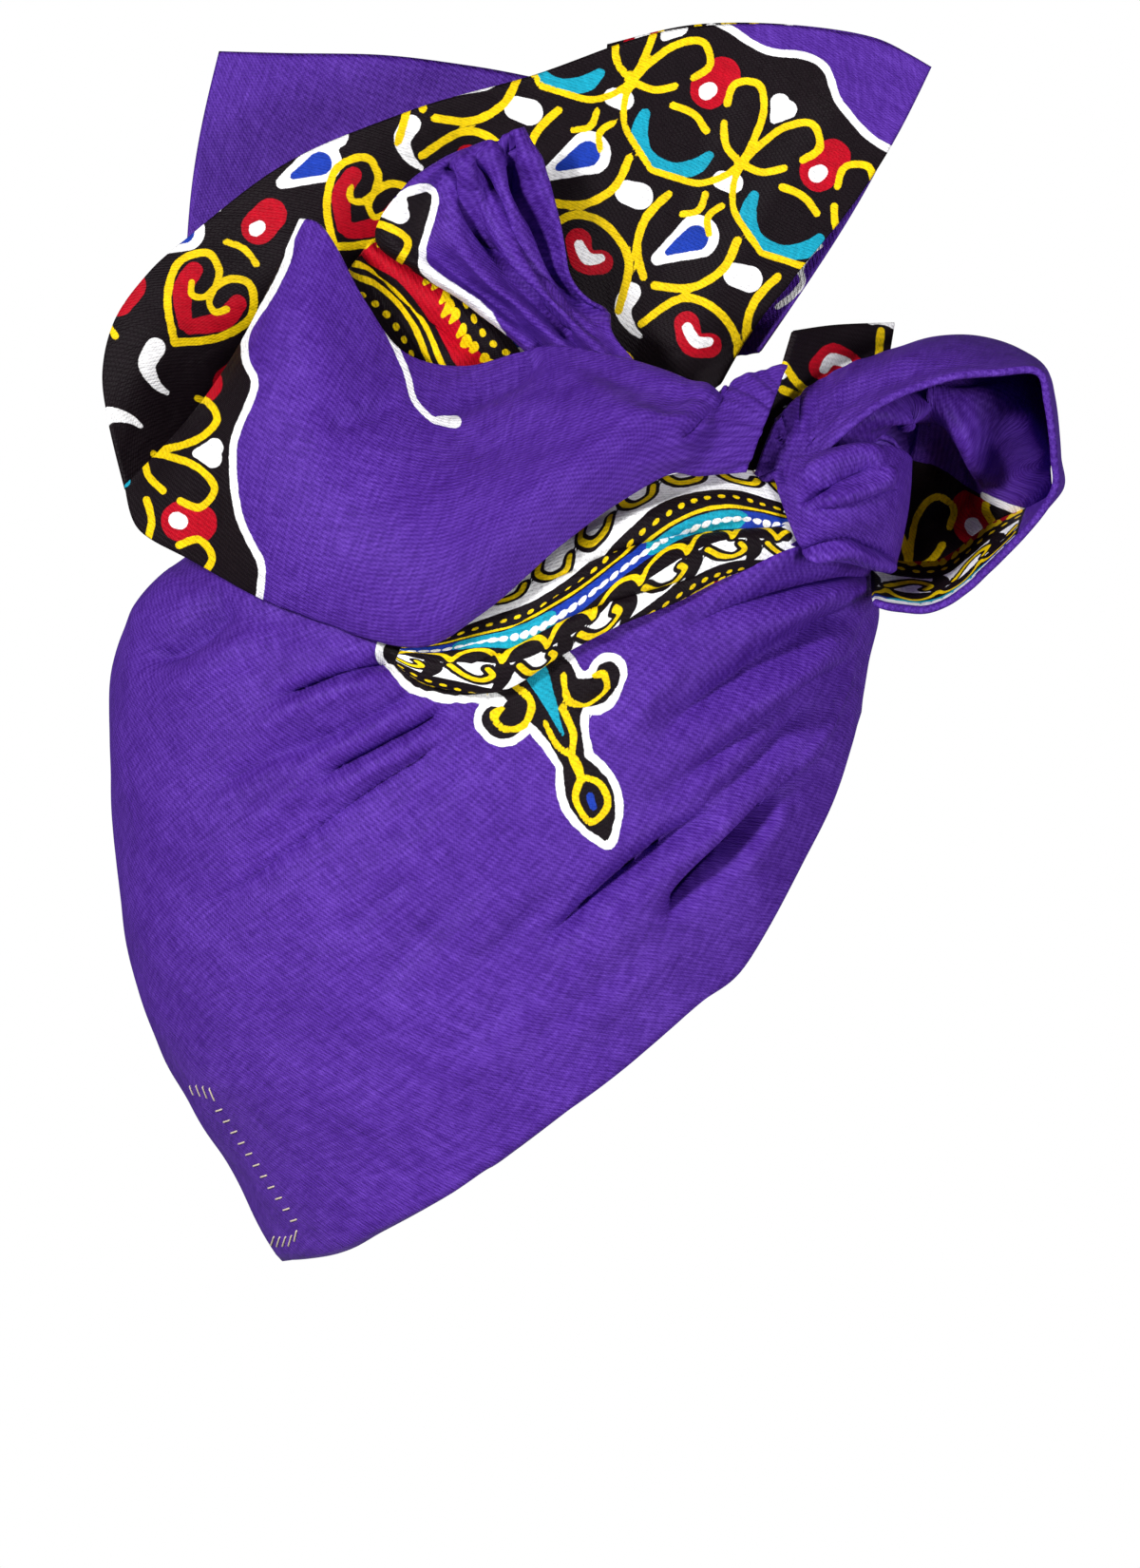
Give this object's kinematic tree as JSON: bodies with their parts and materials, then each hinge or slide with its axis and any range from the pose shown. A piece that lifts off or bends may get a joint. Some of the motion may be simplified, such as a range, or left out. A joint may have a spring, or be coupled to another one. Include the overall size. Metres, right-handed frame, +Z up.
{
  "type": "head wrap",
  "caption": "Head wrap tied from one strip of wax-printed cotton: a fitted cap, a front knot with a bow loop, a side lobe and a fan above the crown.",
  "frame": {"origin": "the point inside the crown where the wearer's head touches the cloth", "axes": "+X towards the wearer's face, +Z up, +Y towards the wearer's left side"},
  "size_m": [0.2527, 0.1755, 0.3264],
  "materials": {
    "purple_cotton": "plain woven cotton, dyed purple",
    "printed_cotton": "wax-printed cotton, black ground with yellow, white, red, blue and teal"
  },
  "bodies": {
    "root": {"head_cap": "purple_cotton", "twist_roll": "printed_cotton", "side_lobe": "purple_cotton", "front_knot": "purple_cotton", "bow_loop": "purple_cotton", "bow_back_wall": "purple_cotton", "end_tab": "printed_cotton", "crown_fan": "printed_cotton", "fan_back_layer": "purple_cotton", "back_flap": "purple_cotton", "pleated_fold": "purple_cotton", "inner_folds": "printed_cotton"}
  },
  "joints": []
}
